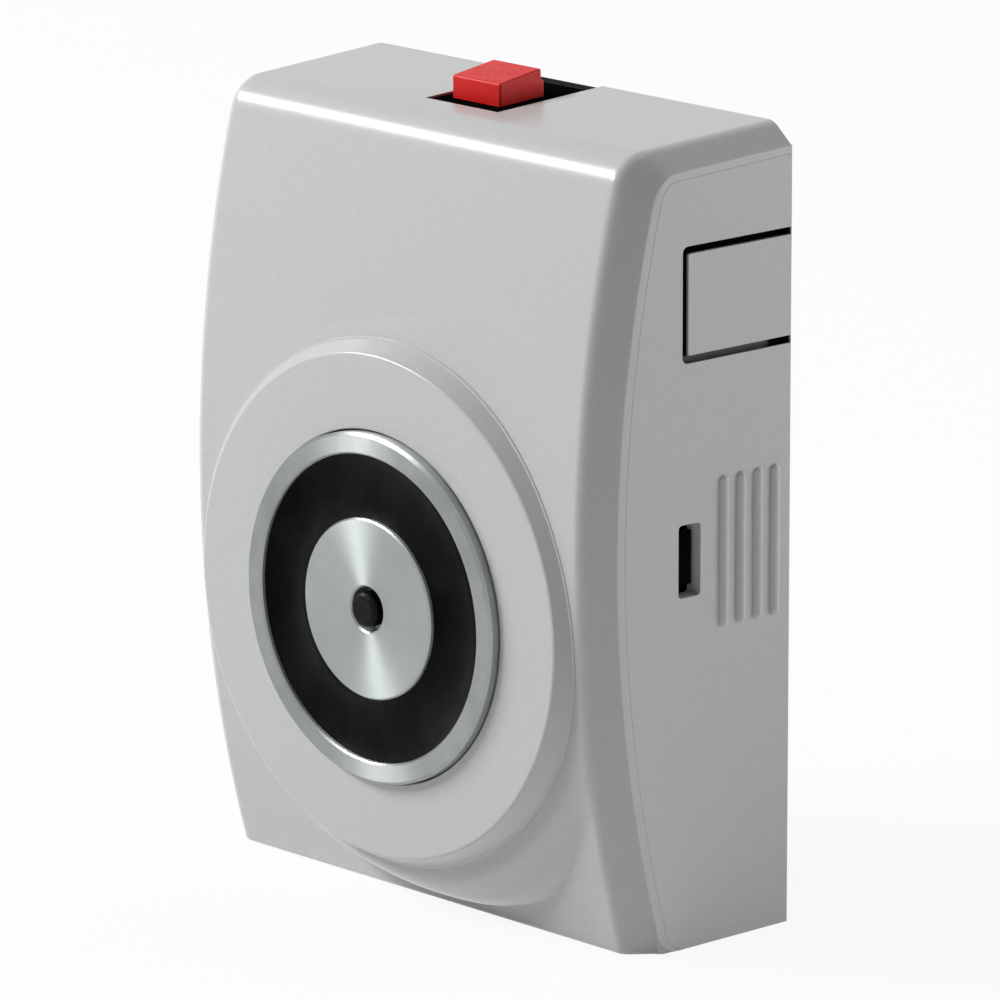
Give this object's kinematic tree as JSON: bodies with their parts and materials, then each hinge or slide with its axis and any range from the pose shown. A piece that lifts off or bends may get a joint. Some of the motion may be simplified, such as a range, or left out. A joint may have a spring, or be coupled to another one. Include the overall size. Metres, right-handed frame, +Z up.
{
  "type": "electromagnetic door holder",
  "caption": "Wall-mounted electromagnetic door holder: arched grey cover with a round boss, a steel pot magnet with push-off pin, and a red release button on top.",
  "frame": {"origin": "where the magnet's axis meets the wall plane", "axes": "+X right as seen from the room, +Y into the wall, +Z up"},
  "size_m": [0.088, 0.0403, 0.1166],
  "materials": {
    "cover_plastic": "satin",
    "black_moulding": "satin",
    "red_plastic": "satin",
    "natural_nylon": "matte",
    "zinc_steel": "bright zinc plate",
    "spring_steel": "drawn wire",
    "casting_resin": "satin",
    "black_rubber": "matte",
    "enamelled_copper": "enamelled wire",
    "contact_brass": "stamped",
    "board_green": "solder mask",
    "terminal_grey": "matte",
    "diode_black": "moulded",
    "red_insulation": "satin",
    "black_insulation": "satin"
  },
  "bodies": {
    "housing": {"cover": "cover_plastic", "base_plate": "black_moulding", "switch_housing": "black_moulding", "switch_base": "black_moulding", "coil_bobbin": "natural_nylon", "magnet_pot": "zinc_steel", "magnet_core": "zinc_steel", "spring_plug": "zinc_steel", "magnet_screw_1": "zinc_steel", "magnet_screw_2": "zinc_steel", "magnet_screw_3": "zinc_steel", "board_screw_left": "zinc_steel", "board_screw_right": "zinc_steel", "terminal_screw_1": "zinc_steel", "terminal_screw_2": "zinc_steel", "release_spring": "spring_steel", "button_spring": "spring_steel", "potting_ring": "casting_resin", "coil_winding": "enamelled_copper", "fixed_contact_left": "contact_brass", "fixed_contact_right": "contact_brass", "circuit_board": "board_green", "terminal_block": "terminal_grey", "suppressor_diode": "diode_black", "coil_lead_left": "red_insulation", "coil_lead_right": "black_insulation"},
    "button": {"button_cap": "red_plastic", "button_stem": "natural_nylon", "moving_contact": "contact_brass"},
    "pin": {"release_pin": "black_rubber"}
  },
  "joints": [
    {"name": "button_press", "type": "slide", "parent": "housing", "child": "button", "axis": [0, 0, -1], "range_m": [0, 0.003], "stiffness_N_per_m": 400, "springref_m": -0.002, "deforming": ["button_spring"]},
    {"name": "pin_press", "type": "slide", "parent": "housing", "child": "pin", "axis": [0, 1, 0], "range_m": [0, 0.0008], "stiffness_N_per_m": 2000, "springref_m": -0.002, "deforming": ["release_spring"]}
  ]
}
